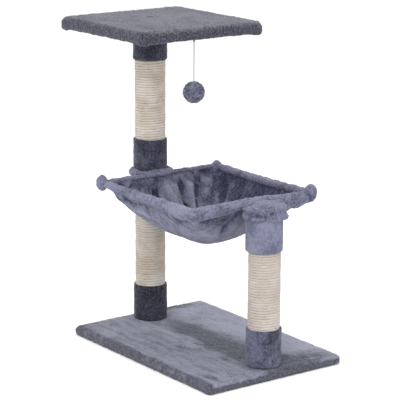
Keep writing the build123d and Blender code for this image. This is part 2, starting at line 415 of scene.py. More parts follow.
# %% The string
STRING_RADIUS = 0.0011
string_low, string_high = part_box("toy_string")
string_x, string_y = (string_low.x + string_high.x) / 2, (string_low.y + string_high.y) / 2
string_route = [
    (string_x, string_y, string_high.z),
    (string_x, string_y, string_high.z - 12 * STRING_RADIUS),
    (string_x, string_y, string_low.z),
]


def lay_curve(name, route, radius, rounds=3):
    """A NURBS curve along a route, with a round section."""
    line = bpy.data.curves.new(name, "CURVE")
    line.dimensions = "3D"
    line.bevel_depth = radius
    line.bevel_resolution = rounds
    line.use_fill_caps = True
    spline = line.splines.new("NURBS")
    spline.points.add(len(route) - 1)
    for point, place in zip(spline.points, route):
        point.co = (*place, 1)
    spline.order_u = 3
    spline.use_endpoint_u = True
    piece = bpy.data.objects.new(name, line)
    bpy.context.collection.objects.link(piece)
    return piece


def string_finish():
    """Pale grey twisted cotton: fine slanting stripes along the cord."""
    cotton = Finish("string_cotton", 0.85)
    x, y, z = cotton.axes()
    angle = cotton.node("ShaderNodeMath", {"operation": "ARCTAN2"}, {0: y - string_y, 1: x - string_x})
    twist = (z * 1800 + angle * 2).sine() * 0.5 + 0.5
    body = cotton.mix(twist * 0.6 + cotton.noise(0.002) * 0.3, colour("7c7c90"), colour("9c9cad"))
    return cotton.done(body, twist, 0.0004)


deselect()
toy_line = lay_curve("toy_string_cord", string_route, STRING_RADIUS)
toy_line.data.materials.append(string_finish())
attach(toy_line, "toy_string")
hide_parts("toy_string")
print("string length", round(1000 * (string_high.z - string_low.z), 1), "mm")

# %% [markdown]
# ## Plush covers of the base and the perch
# A cover is one flat cloth, laid over the board, folded down its sides and stapled underneath. It is
# modelled the same way: a flat grid at the cloth's cut size, whose points a short function folds
# over the board's rounded edges. A box with bevels would be quicker, but its mesh would be coarse on
# top and its pile would stretch at the edges. The grid stays even, so the tufts do too.

# %% Folding a flat cloth over a board
WRAP = 0.0225  # how far the cloth reaches under the board
BASE_EDGES = (0.0075, 0.0040, 0.010)  # radius of the top edge, the lower edge and the corners
PERCH_EDGES = (0.0095, 0.0090, 0.015)


def fold_profile(t, rise, edges):
    """How far out and down the cloth is, at a length t past the flat top."""
    edge, under_edge = edges[:2]
    top_arc = math.pi / 2 * edge
    side = rise - edge - under_edge
    low_arc = math.pi / 2 * under_edge
    turn = np.clip(t, 0, top_arc) / edge
    low_turn = np.clip(t - top_arc - side, 0, low_arc) / under_edge
    under = np.clip(t - top_arc - side - low_arc, 0, None)
    out = edge * np.sin(turn) - under_edge * (1 - np.cos(low_turn)) - under
    down = edge * (1 - np.cos(turn)) + np.clip(t - top_arc, 0, side) + under_edge * np.sin(low_turn)
    return np.where(t < 0, t, out), down


def fold_over(flat, length, width, rise, edges):
    """Moves the points of a flat cloth to where they lie, folded over a board."""
    edge, under_edge, corner = edges
    x, y = flat[:, 0], flat[:, 1]
    half_x, half_y = length / 2 - edge, width / 2 - edge
    t = np.maximum(abs(x) - half_x, abs(y) - half_y)
    out, down = fold_profile(t, rise, edges)
    round_by = np.maximum(corner - edge + out, 0.0)
    on_end = abs(x) - half_x >= abs(y) - half_y
    across = np.where(on_end, y, x)
    flat_reach = np.where(on_end, half_y, half_x) + t
    reach = np.where(on_end, half_y, half_x) + out
    along = abs(across) / np.maximum(flat_reach, 1e-9) * (reach - round_by * (1 - math.pi / 4))
    straight = reach - round_by
    bend = np.where(round_by > 0, np.clip(along - straight, 0, None) / np.maximum(round_by, 1e-9), 0.0)
    side_place = np.where(bend > 0, straight + round_by * np.sin(bend), along)
    front_reach = np.where(on_end, half_x, half_y) + out
    front_place = front_reach - round_by * (1 - np.cos(bend))
    side_place = np.sign(across) * side_place
    folded_x = np.where(on_end, np.sign(x) * front_place, side_place)
    folded_y = np.where(on_end, side_place, np.sign(y) * front_place)
    inside = t < -corner
    folded_x, folded_y = np.where(inside, x, folded_x), np.where(inside, y, folded_y)
    return np.stack([folded_x, folded_y, -down], axis=1)


def cut_size(length, width, rise, edges):
    """The cloth's length and width before it is folded."""
    edge, under_edge = edges[:2]
    side = (math.pi / 2 - 1) * (edge + under_edge) + rise + WRAP - edge
    return length + 2 * side, width + 2 * side


def press(points, place, radius, depth):
    """Pushes a soft dimple down into a flat top, round a place."""
    away = np.hypot(points[:, 0] - place[0], points[:, 1] - place[1]) / radius
    top = points[:, 2] > points[:, 2].max() - 0.004
    points[:, 2] -= np.where(top, depth * np.exp(-(away**2)), 0.0)
    return points


def score(points, start, end, width, depth):
    """Pushes a crease into a flat top, from a start to an end on the plan."""
    start, run = np.array(start), np.array(end) - np.array(start)
    share = np.clip((points[:, :2] - start) @ run / (run @ run), 0, 1)
    away = np.hypot(*(points[:, :2] - start - share[:, None] * run).T) / width
    top = points[:, 2] > points[:, 2].max() - 0.004
    points[:, 2] -= np.where(top, depth * np.exp(-(away**2)), 0.0)
    return points


def bunch(points, low, high, drop, bulge):
    """Lets the cloth bulge and hang at a board's corners, where it is folded over itself."""
    below = np.clip((high.z - points[:, 2]) / (high.z - low.z), 0, 1)
    beside = slope(below, 0.05, 0.4) * (1 - slope(below, 0.85, 1))
    for side_x in (-1, 1):
        for side_y in (-1, 1):
            corner_x, corner_y = (high.x if side_x > 0 else low.x), (high.y if side_y > 0 else low.y)
            near = np.exp(-((np.hypot(points[:, 0] - corner_x, points[:, 1] - corner_y) / 0.022) ** 2))
            points[:, 0] += side_x * bulge * near * beside
            points[:, 1] += side_y * bulge * near * beside
            points[:, 2] -= drop * near * below
    return points


def make_cover(name, node, cell, edges, drop, bulge, dimples, creases):
    """Folds a plush cover over the space that its CAD node holds."""
    low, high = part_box(node)
    size = high - low
    cut_length, cut_width = cut_size(size.x, size.y, size.z, edges)
    columns, rows = round(cut_length / cell), round(cut_width / cell)
    deselect()
    bpy.ops.mesh.primitive_grid_add(x_subdivisions=columns, y_subdivisions=rows, size=1)
    cover = bpy.context.object
    cover.scale = (cut_length, cut_width, 1)
    settle(cover, name)
    middle = np.array([(low.x + high.x) / 2, (low.y + high.y) / 2, high.z])
    points = fold_over(get_points(cover), size.x, size.y, size.z, edges) + middle
    for place, radius, depth in dimples:
        points = press(points, place, radius, depth)
    for start, end, width, depth in creases:
        points = score(points, start, end, width, depth)
    set_points(cover, bunch(points, low, high, drop, bulge))
    raise_pile(cover, 0.0026, 0.0018, 0.028)
    roughen(cover, 0.0024, 0.011)
    points = get_points(cover)
    points[:, 2] = np.maximum(points[:, 2], low.z - drop)
    set_points(cover, points)
    thicken(cover, 0.0035)
    print(name, "cut to", round(1000 * cut_length), "x", round(1000 * cut_width), "mm")
    return cover, (cut_length, cut_width)


# %% The base's cover
def base_shade(cloth):
    """A band of stroked pile from the tall post to the short one and past it, a painted sheen on the
    pile on the far side of it and along its near edge, a few pressed patches near the edges, and
    painted shade, mottled, on the sides and along the front edge of the top."""
    x, y, z = cloth.axes()
    drift = cloth.noise(0.05, 2.0, 5.0) - 0.5
    half = x.smooth(-0.16, 0.20) * 0.038 + 0.020
    off = abs(y - 0.016 - x.smooth(0.0, 0.2) * 0.008 + drift * 0.06) / half
    band = (1 - off.smooth(0.3, 1.5)) * x.smooth(-0.17, -0.05) * 0.95
    # Painted sheen: paler pile on the far side of the band and along its near edge.
    paler = y.smooth(0.030, 0.10) * (1 - x.smooth(0.20, 0.27)) * 0.55
    lip = abs(y + 0.040 + drift * 0.06).smooth(0.0, 0.030)
    paler = paler + (1 - lip) * (1 - abs(x).smooth(0.10, 0.22)) * 0.30
    long = cloth.vector(x * 0.22, y, z)
    streaks = cloth.noise(0.014, 3.0, 8.0, long).smooth(0.38, 0.70) * 0.55
    streaks = streaks * (1 - y.smooth(-0.04, 0.06) * 0.6)
    patches = cloth.spot(x, y, (base_high.x - 0.030, 0.090), (0.055, 0.090)) * 1.0
    patches = patches + cloth.spot(x, y, (base_low.x + 0.010, 0.105), (0.034, 0.060)) * 1.2
    patches = patches + cloth.spot(x, y, (base_high.x - 0.040, base_low.y + 0.035), (0.034, 0.014)) * 0.8
    patches = patches + cloth.spot(x, y, (base_low.x, base_low.y), (0.030, 0.030)) * 0.8
    patches = patches * (cloth.noise(0.02, 3.0, 6.0).smooth(0.35, 0.60) * 0.6 + 0.4)
    mottle = cloth.noise(0.016, 3.0, 3.0).smooth(0.35, 0.62) * 0.65 + 0.75
    # Painted shade, mottled: on the sides below the top and along the top's front edge.
    edge = 1 - (y - base_low.y + drift * 0.016).smooth(0.006, 0.016)
    side = 1 - z.smooth(base_top - 0.014, base_top - 0.002)
    rim = side.maths("MAXIMUM", side, edge * 0.8) * mottle
    return band - paler + streaks + patches + rim


base_low, base_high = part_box("base_cover")
base_top = base_high.z
base_plush = plush("base_plush", "7d808d", "3f424b", 1.0, base_shade, 0.16, 0.22, 0.50)
left, front, right, back = base_low.x, base_low.y, base_high.x, base_high.y
base_creases = [  # start, end, width and depth
    ((right - 0.062, front + 0.020), (right - 0.020, front + 0.052), 0.004, 0.0035),
    ((right - 0.030, back - 0.085), (right - 0.012, back - 0.020), 0.004, 0.003),
    ((left + 0.012, back - 0.110), (left + 0.010, back - 0.030), 0.005, 0.003),
]
base_dimples = [((left + 0.045, front + 0.070), 0.006, 0.005)]  # place, radius and depth
base_cloth, base_cut = make_cover(
    "base_plush_cover", "base_cover", 0.0026, BASE_EDGES, 0.0, 0.002, base_dimples, base_creases
)
hand_over(base_cloth, "root", "plush", base_plush, "base_cover")


# %% The perch's cover
def perch_shade(cloth):
    """Painted shade, mottled, on the perch's sides and along the front edge of its top, and painted shade
    in the dimple over the bolt.
    """
    x, y, z = cloth.axes()
    mottle = cloth.noise(0.018, 3.0, 2.0).smooth(0.36, 0.60) * 0.7 + 0.6
    edge = 1 - (y - perch_low.y).smooth(0.004, 0.012)
    rim = ((1 - z.smooth(perch_top - 0.012, perch_top - 0.001)) + edge * 0.5) * mottle
    # Painted shade in the dimple over the bolt, added to the mottled painted shade of the sides.
    return rim + cloth.spot(x, y, bolt_place, (0.010, 0.007)) * 1.2


perch_low, perch_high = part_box("perch_cover")
perch_top = perch_high.z
bolt_low, bolt_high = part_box("perch_bolt")
bolt_place = ((bolt_low.x + bolt_high.x) / 2, (bolt_low.y + bolt_high.y) / 2)
perch_plush = plush("perch_plush", "535459", "2d2e38", 7.0, perch_shade, 0.08, 0.30, 0.60)
left, front, right, back = perch_low.x, perch_low.y, perch_high.x, perch_high.y
perch_creases = [
    ((left + 0.050, front + 0.100), (left + 0.075, front + 0.140), 0.003, 0.0015),
    ((right - 0.100, back - 0.070), (right - 0.060, back - 0.050), 0.003, 0.0015),
]
perch_dimples = [(bolt_place, 0.006, 0.008)]
perch_cloth, perch_cut = make_cover(
    "perch_plush_cover", "perch_cover", 0.0024, PERCH_EDGES, 0.0055, 0.0025, perch_dimples, perch_creases
)
hand_over(perch_cloth, "root", "plush", perch_plush, "perch_cover")


# %% [markdown]
# ## Plush collars
# Each end of a post is wrapped in a strip of plush that hides the rope's cut end. The strip is a flat
# grid again, rolled round the post in code so that its two ends meet in a seam at the back.

# %% Wrapping a collar
COLLAR_CELL = 0.0023


def wrap_collar(name, node, finish, seam, ease=0.0, lean=(0.0, 0.0)):
    """Wraps a strip of plush round a post: ease is how loose it is and lean how far it sits aside."""
    low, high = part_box(node)
    radius, height = (high.x - low.x) / 2 + ease, high.z - low.z
    girth = 2 * math.pi * radius
    deselect()
    bpy.ops.mesh.primitive_grid_add(
        x_subdivisions=round(girth / COLLAR_CELL), y_subdivisions=round(height / COLLAR_CELL), size=1
    )
    strip = bpy.context.object
    strip.scale = (girth, height, 1)
    settle(strip, name)
    flat = get_points(strip)
    along, up = flat[:, 0], flat[:, 1]
    end_gap = 0.0025 - np.minimum(height / 2 - abs(up), 0.0025)
    seam_gap = np.exp(-(((girth / 2 - abs(along)) / 0.003) ** 2)) * 0.0012
    roll = 0.0025 - np.sqrt(np.clip(0.0025**2 - end_gap**2, 0, None))
    r = radius - roll - seam_gap
    angle = seam + math.pi + along / radius * 0.999
    middle_x, middle_y = (low.x + high.x) / 2 + lean[0], (low.y + high.y) / 2 + lean[1]
    rolled = [middle_x + r * np.cos(angle), middle_y + r * np.sin(angle), (low.z + high.z) / 2 + up]
    set_points(strip, np.stack(rolled, axis=1))
    raise_pile(strip, 0.0022, 0.0016, 0.02)
    thicken(strip, 0.0028)
    hand_over(strip, "root", "plush", finish, node)
    return strip


def nap_streaks(cloth):
    """Pile that was stroked up and down in narrow bands."""
    x, y, z = cloth.axes()
    bands = cloth.noise(0.012, 2.0, 4.0, cloth.vector(x, y, z * 0.25))
    return bands.smooth(0.45, 0.75) * 0.35


collar_finishes = {  # pale and deep colour, shift of the pattern, how much of it is pale
    "back_lower_bottom_collar": ("383948", "1d1e2a", 11.0, 0.44, 0.72),
    "back_lower_top_collar": ("5f6176", "37384b", 12.0, 0.38, 0.66),
    "back_upper_bottom_collar": ("4b4b5e", "282838", 13.0, 0.44, 0.70),
    "back_upper_top_collar": ("4a4a5b", "252535", 14.0, 0.42, 0.66),
    "front_bottom_collar": ("585a70", "2a2b39", 15.0, 0.40, 0.62),
    "front_top_collar": ("75778b", "575a70", 16.0, 0.36, 0.60),
}
SEAM = math.radians(140)  # behind, towards the tall post's far side
for node, (pale, deep, shift, low, high) in collar_finishes.items():
    streaks = nap_streaks if node == "front_top_collar" else None
    cloth = plush(f"{node}_plush", pale, deep, shift, streaks, 0.06, low, high, grain=0.6)
    ease, lean = (0.0016, (-0.0010, -0.0012)) if node == "front_top_collar" else (0.0, (0.0, 0.0))
    wrap_collar(f"{node}_cloth", node, cloth, SEAM + 0.1 * math.sin(shift), ease, lean)

# %% [markdown]
# ## Sisal rope
# The rope is wound so tight that its turns touch. One section of rope, an eight-sided ring, is carried
# round the post by a Screw modifier, which climbs by one rope's thickness in each turn. The three
# strands of the rope are then pressed into its surface in code, because they follow the rope's own
# length and not the post.

# %% Winding the rope
ROPE_HALF, ROPE_DEPTH = 0.003, 0.0026  # half the rope's height and depth, pressed flat
LAY = 0.016  # the length of one twist of its strands
STEPS = 110  # round the post
FLAT, NOTCH = 0.6, 0.4  # how square the section is, and how far hair fills the notch between turns


def wind_rope(name, node, finish, start):
    """Winds rope over a post, in the space of its CAD sleeve."""
    low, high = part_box(node)
    x, y, radius = (low.x + high.x) / 2, (low.y + high.y) / 2, (high.x - low.x) / 2
    turns = round((high.z - low.z) / (2 * ROPE_HALF)) - 1
    pitch = (high.z - low.z) / (turns + 1)
    core = radius - ROPE_DEPTH
    deselect()
    bpy.ops.mesh.primitive_circle_add(
        vertices=8, radius=1, location=(core, 0, pitch / 2), rotation=(math.pi / 2, 0, 0)
    )
    rope = bpy.context.object
    rope.scale = (ROPE_DEPTH, pitch / 2, 1)
    settle(rope, name)
    modify(rope, "SCREW", axis="Z", screw_offset=pitch, iterations=turns, steps=STEPS, render_steps=STEPS)
    points = get_points(rope)
    angle = np.arctan2(points[:, 1], points[:, 0])
    climb = (points[:, 2] - pitch / 2) / pitch - angle / (2 * math.pi)
    turn = np.round(climb)
    length = (turn * 2 * math.pi + angle) * core
    middle_z = pitch / 2 + pitch * (turn + angle / (2 * math.pi))
    out, up = np.hypot(points[:, 0], points[:, 1]) - core, points[:, 2] - middle_z
    around = np.arctan2(up / (pitch / 2), out / ROPE_DEPTH)
    out = ROPE_DEPTH * np.sign(out) * abs(out / ROPE_DEPTH) ** FLAT  # pressed against its neighbours
    out = np.where(out > -0.1 * ROPE_DEPTH, np.maximum(out, NOTCH * ROPE_DEPTH), out)
    up = pitch / 2 * np.sign(up) * np.minimum(abs(up / (pitch / 2)), 1) ** FLAT
    strand = 1 + 0.10 * np.cos(3 * around + 2 * math.pi * length / LAY)
    wave = 0.00022 * (np.sin(length / 0.043 + start) + np.sin(length / 0.0171 + 2 * start))
    sway = 0.00030 * (np.sin(length / 0.061 + 2) + np.sin(length / 0.0233 + start))
    r = core + out * strand + wave
    z = low.z + middle_z + up * strand + sway * np.sin(math.pi * np.clip(middle_z / (high.z - low.z), 0, 1))
    z = np.clip(z, low.z, high.z)
    turned = angle + start
    set_points(rope, np.stack([x + r * np.cos(turned), y + r * np.sin(turned), z], axis=1))
    pick(rope)
    bpy.ops.object.mode_set(mode="EDIT")
    bpy.ops.mesh.select_all(action="SELECT")
    bpy.ops.mesh.fill_holes(sides=0)
    bpy.ops.mesh.select_all(action="SELECT")
    bpy.ops.mesh.normals_make_consistent(inside=False)
    bpy.ops.object.mode_set(mode="OBJECT")
    print(name, turns, "turns,", round(turns * 2 * math.pi * core, 1), "m of rope")
    return hand_over(rope, "root", "sisal", finish, node)


def sisal(name, x, y, pitch, start, tones):
    """Pale hairy rope with stray brown fibres. tones are the colour, its yellower patches and fibres."""
    rope = Finish(name, 0.85, Sheen_Weight=0.15)
    px, py, z = rope.axes()
    angle = rope.node("ShaderNodeMath", {"operation": "ARCTAN2"}, {0: py - y, 1: px - x})
    climb = z / pitch - angle * (1 / (2 * math.pi))
    along = angle * 0.035
    turn = climb.floor()
    fibres = rope.noise(0.001, 3.0, start, rope.vector(along * 0.22, climb * 0.0055, turn * 0.01))
    tint = rope.noise(0.05, 3.0, start)
    patch = rope.noise(0.012, 3.0, start + 2, rope.vector(along * 0.4, z, turn * 0.02))
    clean, yellow, shadow = (colour(tone) for tone in tones)
    pale = rope.mix(tint.smooth(0.35, 0.65), clean, yellow)
    body = rope.mix(fibres.smooth(0.35, 0.75) * 0.5, pale, shadow)
    speck = rope.noise(0.0016, 2.0, start + 5, rope.vector(along * 0.12, z, turn * 0.05)).smooth(0.68, 0.74)
    worn = rope.mix(speck * 0.6, body, colour("7a6248"))
    final = rope.mix(patch.smooth(0.55, 0.75) * 0.25, worn, colour("dad5cf"))
    return rope.done(final, fibres, 0.0006)


rope_tones = {
    "back_lower": (0.4, ("c6bfb9", "b0a598", "98866f")),
    "front": (2.1, ("bbb3ae", "aea49b", "948778")),
    "back_upper": (4.0, ("cac3bd", "b5a99c", "9c8a75")),
}
for post, (start, tones) in rope_tones.items():
    sleeve_low, sleeve_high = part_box(f"{post}_sisal")
    post_x, post_y = (sleeve_low.x + sleeve_high.x) / 2, (sleeve_low.y + sleeve_high.y) / 2
    rope_finish = sisal(f"{post}_rope_fibre", post_x, post_y, 2 * ROPE_HALF, start, tones)
    wind_rope(f"{post}_rope", f"{post}_sisal", rope_finish, start)

# %% [markdown]
# ## The ball
# A ball of filling in a sewn plush cover, so it is round but not perfectly so, with fluffy tufts. An
# icosphere has no poles, so its tufts are the same size everywhere.

# %% The ball
ball_low, ball_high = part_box("toy_ball_cover")
ball_middle = (ball_low + ball_high) / 2
ball_radius = (ball_high.x - ball_low.x) / 2
deselect()
bpy.ops.mesh.primitive_ico_sphere_add(subdivisions=6, radius=ball_radius - 0.0004, location=ball_middle)
ball = settle(bpy.context.object, "toy_ball_plush")
raise_pile(ball, 0.0028, 0.0022, 0.012)
ball_plush = plush("ball_plush", "6c6d80", "3c3c4e", 21.0, None, 0.022, 0.40, 0.62)
hand_over(ball, "toy_ball", "plush", ball_plush, "toy_ball_cover")

# %% [markdown]
# ## The hammock's cloth
# The cloth is cut larger than its wire frame and gathered along it, so it falls in deep soft folds. A
# cloth simulation makes them: the rim's points are pinned to the frame, the cloth is told that it is a
# fifth larger than it is drawn, and gravity does the rest. The result is applied to the mesh.

# %% The rim's height, and the start of the cloth
frame_low, frame_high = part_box("hammock_frame")
rim_half_y = (frame_high.y - frame_low.y) / 2 - 0.003
sling_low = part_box("hammock_sling")[0]
knobs_low, knobs_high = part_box("hammock_corner_knobs")
KNOB_REACH = (knobs_high.y - knobs_low.y) / 2 - rim_half_y  # from the wire to a knob's far side
rim_x = (knobs_low.x + knobs_high.x) / 2
rim_half_x = (knobs_high.x - knobs_low.x) / 2 - KNOB_REACH
rim_z = (frame_low.z + frame_high.z) / 2
LOOSE_CORNER = (rim_x + rim_half_x, -rim_half_y)  # the corner by the short post hangs a little
CORNER_SAG, CORNER_REACH, SIDE_SAG = 0.0065, 0.11, 0.003
GATHER = 1.19  # the cut cloth's size as a share of the frame's


def rim_height(x, y):
    """The height of the rolled rim: the wire's, less the droop of the loose corner and the sides."""
    away = np.hypot(x - LOOSE_CORNER[0], y - LOOSE_CORNER[1])
    middle = np.clip(1 - ((x - rim_x) / rim_half_x) ** 2, 0, 1)
    return rim_z - CORNER_SAG * np.exp(-((away / CORNER_REACH) ** 2)) - SIDE_SAG * middle


def sling_start(points):
    """A shallow bowl that hangs from the rim, with a few waves that tell the folds where to start."""
    u, v = (points[:, 0] - rim_x) / rim_half_x, points[:, 1] / rim_half_y
    dip = np.clip((1 - u**2) * (1 - v**2), 0, 1)
    waves = 0.35 * np.sin(7.3 * u + 2.1) * np.cos(1.7 * v) + 0.35 * np.sin(6.1 * v + 0.7 * u)
    waves += 0.2 * np.sin(11.0 * u - 4.0 * v + 1.0)
    points[:, 2] = rim_height(points[:, 0], points[:, 1]) - 0.07 * dip + 0.010 * waves * dip**0.5
    return points


CLOTH_CELL = 0.0038  # fine enough for the folds, coarse enough for the simulation's time
deselect()
columns, rows = round(2 * rim_half_x / CLOTH_CELL), round(2 * rim_half_y / CLOTH_CELL)
bpy.ops.mesh.primitive_grid_add(x_subdivisions=columns, y_subdivisions=rows, size=1)
sling = bpy.context.object
sling.scale = (2 * rim_half_x, 2 * rim_half_y, 1)
sling.location = (rim_x, 0, 0)
settle(sling, "hammock_sling_cloth")
set_points(sling, sling_start(get_points(sling)))
HEM = 0.022  # what each side adds to the cut cloth, rolled round the wire
flat_cloth = (2 * (rim_half_x * GATHER + HEM), 2 * (rim_half_y * GATHER + HEM))


# %% Letting it hang
def hang(piece, steps):
    """Pins the cloth's edge and lets gravity pull the rest down, then keeps the result."""
    points = get_points(piece)
    on_edge = (abs(points[:, 0] - rim_x) > rim_half_x - 0.001) | (abs(points[:, 1]) > rim_half_y - 0.001)
    rim = piece.vertex_groups.new(name="rim")
    rim.add([int(i) for i in np.flatnonzero(on_edge)], 1.0, "REPLACE")
    pick(piece)
    cloth = piece.modifiers.new("hang", "CLOTH")
    weave = cloth.settings
    weave.vertex_group_mass = "rim"
    weave.quality = 7
    weave.mass = 0.25
    weave.air_damping = 3.0
    weave.tension_stiffness = 25
    weave.compression_stiffness = 25
    weave.shear_stiffness = 6
    weave.bending_stiffness = 1.2
    weave.tension_damping = 12
    weave.bending_damping = 1.0
    weave.shrink_min = 1 - GATHER
    weave.shrink_max = 1 - GATHER
    cloth.collision_settings.use_collision = False
    cloth.point_cache.frame_start = 1
    cloth.point_cache.frame_end = steps
    for step in range(1, steps + 1):
        bpy.context.scene.frame_set(step)
    bpy.ops.object.modifier_apply(modifier=cloth.name)
    bpy.context.scene.frame_set(1)
    piece.vertex_groups.clear()


hang(sling, 60)
points = get_points(sling)
print("cloth hangs to", round(1000 * points[:, 2].min(), 1), "mm")
depth_share = (rim_z - sling_low.z - 0.004) / (rim_z - points[:, 2].min())
points[:, 2] = rim_z + (points[:, 2] - rim_z) * depth_share
set_points(sling, points)
modify(sling, "SUBSURF", levels=1, render_levels=1)

# %% [markdown]
# The simulation gives the bowl its fall, but at this cell size its gathers come out shallow. The deep
# ones are pressed in here, each at its own place along the rim, and they run down to the middle of
# the bowl as gathers do. A second family fans out from the tied corners. A place along the rim is a
# number from 0 to 4: each side is 1 long, and the count starts at the corner at the lowest x and y.
# A depth below zero is a fold that goes outwards.

# %% Deeper folds
LOOSE_PLACE = 2.93  # where the loose corner is along the rim, just before it
RIM_FOLDS = (  # place along the rim, half width, depth, and how far out from the middle it ends
    (0.10, 0.030, -0.009, 0.30),
    (0.21, 0.050, 0.013, 0.28),
    (0.40, 0.056, -0.034, 0.20),
    (0.54, 0.050, 0.018, 0.20),
    (0.655, 0.034, -0.022, 0.25),
    (0.735, 0.030, 0.010, 0.30),
    (0.81, 0.030, -0.014, 0.28),
    (0.94, 0.065, 0.018, 0.45),
    (1.12, 0.040, -0.018, 0.38),
    (1.23, 0.040, 0.010, 0.30),
    (1.34, 0.032, -0.011, 0.40),
    (1.44, 0.045, 0.010, 0.30),
    (1.57, 0.042, -0.011, 0.42),
    (1.72, 0.050, 0.007, 0.30),
    (2.20, 0.030, -0.005, 0.40),
    (2.60, 0.040, -0.005, 0.50),
    (2.70, 0.034, 0.007, 0.45),
    (2.80, 0.040, -0.004, 0.50),
    (3.22, 0.050, 0.004, 0.50),
    (3.62, 0.030, 0.004, 0.40),
)
CORNER_FOLDS = (  # u and v of the corner, angle from the u axis, half width, depth into the bowl
    (-1, -1, 9, 3.0, 0.006),
    (-1, -1, 17, 3.5, -0.005),
    (-1, -1, 25, 3.5, 0.007),
    (-1, -1, 35, 4.5, -0.004),
    (-1, 1, -38, 5.0, 0.006),
    (-1, 1, -52, 5.0, -0.007),
    (1, 1, 205, 4.0, -0.005),
    (1, 1, 218, 5.0, 0.005),
)


def along_rim(u, v):
    """The place on the rim in a point's direction: 0 to 4, anticlockwise from the lowest x and y."""
    ring = np.maximum(np.maximum(abs(u), abs(v)), 1e-6)
    a, b = u / ring, v / ring
    sides = [a <= -0.9999, b >= 0.9999, a >= 0.9999]
    return ring, np.select(sides, [(b + 1) / 2, 1 + (a + 1) / 2, 2 + (1 - b) / 2], 3 + (1 - a) / 2)


def fold_depth(u, v):
    """How far the cloth is pressed into the bowl at a place."""
    ring, place = along_rim(u, v)
    depth = np.zeros(len(u))
    for middle, half, deep, end in RIM_FOLDS:
        bent = place + 0.05 * (1 - ring) * math.sin(9 * middle)
        away = (bent - middle + 2) % 4 - 2
        depth += deep * np.exp(-((away / half) ** 2)) * slope(ring, end, end + 0.4)
    depth *= slope(1 - ring, 0.01, 0.16)
    for corner_u, corner_v, angle, half, deep in CORNER_FOLDS:
        away = np.hypot(u - corner_u, v - corner_v)
        heading = np.degrees(np.arctan2(v - corner_v, u - corner_u))
        off = (heading - angle + 180) % 360 - 180
        reach = slope(away, 0.12, 0.5) * (1 - slope(away, 1.0, 1.7))
        depth += deep * np.exp(-((off / half) ** 2)) * reach * slope(1 - ring, 0.0, 0.08)
    near_loose = np.exp(-(((place - LOOSE_PLACE) / 0.20) ** 2))
    depth += near_loose * 0.014 * np.exp(-(((ring - 0.90) / 0.05) ** 2))
    return depth - near_loose * 0.007 * np.exp(-(((ring - 0.73) / 0.07) ** 2))


points = get_points(sling)
up = point_normals(sling)
up *= np.where(up[:, 2:3] < 0, -1, 1)
up[:, 2] *= 0.6  # the folds swing out more than they sag
u, v = (points[:, 0] - rim_x) / rim_half_x, points[:, 1] / rim_half_y
set_points(sling, points + up * fold_depth(u, v)[:, None])
modify(sling, "SMOOTH", factor=0.5, iterations=9)
raise_pile(sling, 0.0024, 0.0020, 0.03)
thicken(sling, 0.0045, 0.0)
write_hollows(sling, 0.005)
# Which side faces up into the bowl: the painted shade of the inner side is read from it.
write_numbers(sling, "inner", np.clip(0.5 + 2 * point_normals(sling)[:, 2], 0, 1))
points = get_points(sling)
ring, place = along_rim((points[:, 0] - rim_x) / rim_half_x, points[:, 1] / rim_half_y)
# Painted shade just under the rolled rim, strongest near the loose corner.
tucked = slope(ring, 0.82, 0.93) * (0.5 + 0.5 * np.exp(-(((place - LOOSE_PLACE) / 0.25) ** 2)))
write_numbers(sling, "tucked", tucked)


def sling_shade(cloth):
    """Painted shade: the bowl's inner side is darker, most of all away from the light, and so are the cloth
    under the rolled rim and the bottom of the bowl.
    """
    x, y, z = cloth.axes()
    far = (x * 0.7 + y).smooth(-0.03, 0.14)
    patches = cloth.noise(0.03, 2.0, 9.0).smooth(0.5, 0.7) * 0.25
    # Painted shade at the bottom of the bowl.
    under = (1 - z.smooth(sling_low.z, sling_low.z + 0.03)) * 0.18
    return patches + under + cloth.written("inner") * (far * 0.95 + 0.10) + cloth.written("tucked") * 0.7


sling_plush = plush("sling_plush", "787a8c", "30314a", 31.0, sling_shade, 0.09, 0.22, 0.64, 1.2, 0.8)
hand_over(sling, "root", "plush", sling_plush, "hammock_sling")

# %% [markdown]
# ## The rolled rim and its corner knobs
# Along each side the cloth is rolled round the wire and sewn, and at the corners the rolls are
# gathered and tied into knobs. A curve with a thickness for each point makes the rolls, four spheres
# make the knobs, and a voxel remesh welds them into one soft body without seams.

# %% The rim
ROLL, STOUT_ROLL, BACK_ROLL, HANGING_ROLL = 0.0092, 0.0152, 0.0062, 0.0120
HANGING_DROP = 0.0052  # how far the hanging roll's middle lies under the wire
INSET = 0.004  # the rolls' middle line lies this far inside the wire's
ROUTE_STEPS = 40  # points along each side
KNOB_WIDE, KNOB_TALL, KNOB_RISE, KNOB_INSET = 0.0134, 0.0172, 0.002, 0.002


def roll_radius(x, y):
    """How thick the roll is: stout at the loose corner, thin behind, and pinched beside the cap."""
    away = np.hypot(x - LOOSE_CORNER[0], y - LOOSE_CORNER[1])
    stout = np.exp(-((away / 0.15) ** 2))
    at_front, at_back = (np.exp(-(((x - rim_x - side * rim_half_x) / 0.02) ** 2)) for side in (1, -1))
    pinch = np.exp(-(((x - rim_x - rim_half_x) / 0.02) ** 2 + ((y + 0.050) / 0.008) ** 2))
    hanging = at_front * slope(y, 0.02, 0.06)
    radius = ROLL + (STOUT_ROLL - ROLL) * stout - 0.0012 * pinch
    radius += (HANGING_ROLL - ROLL) * hanging - (ROLL - BACK_ROLL) * at_back
    to_corner = np.hypot(rim_half_x - abs(x - rim_x), rim_half_y - abs(y))
    neck = np.exp(-(((to_corner - 0.021) / 0.006) ** 2)) * (1 - stout)
    return radius - 0.0010 * neck


def roll_height(x, y):
    """The height of the roll's middle: it hangs below the wire between the cap and the far knob."""
    hanging = slope(x - rim_x, rim_half_x - 0.03, rim_half_x - 0.005) * slope(y, 0.03, 0.07)
    return rim_height(x, y) - HANGING_DROP * hanging


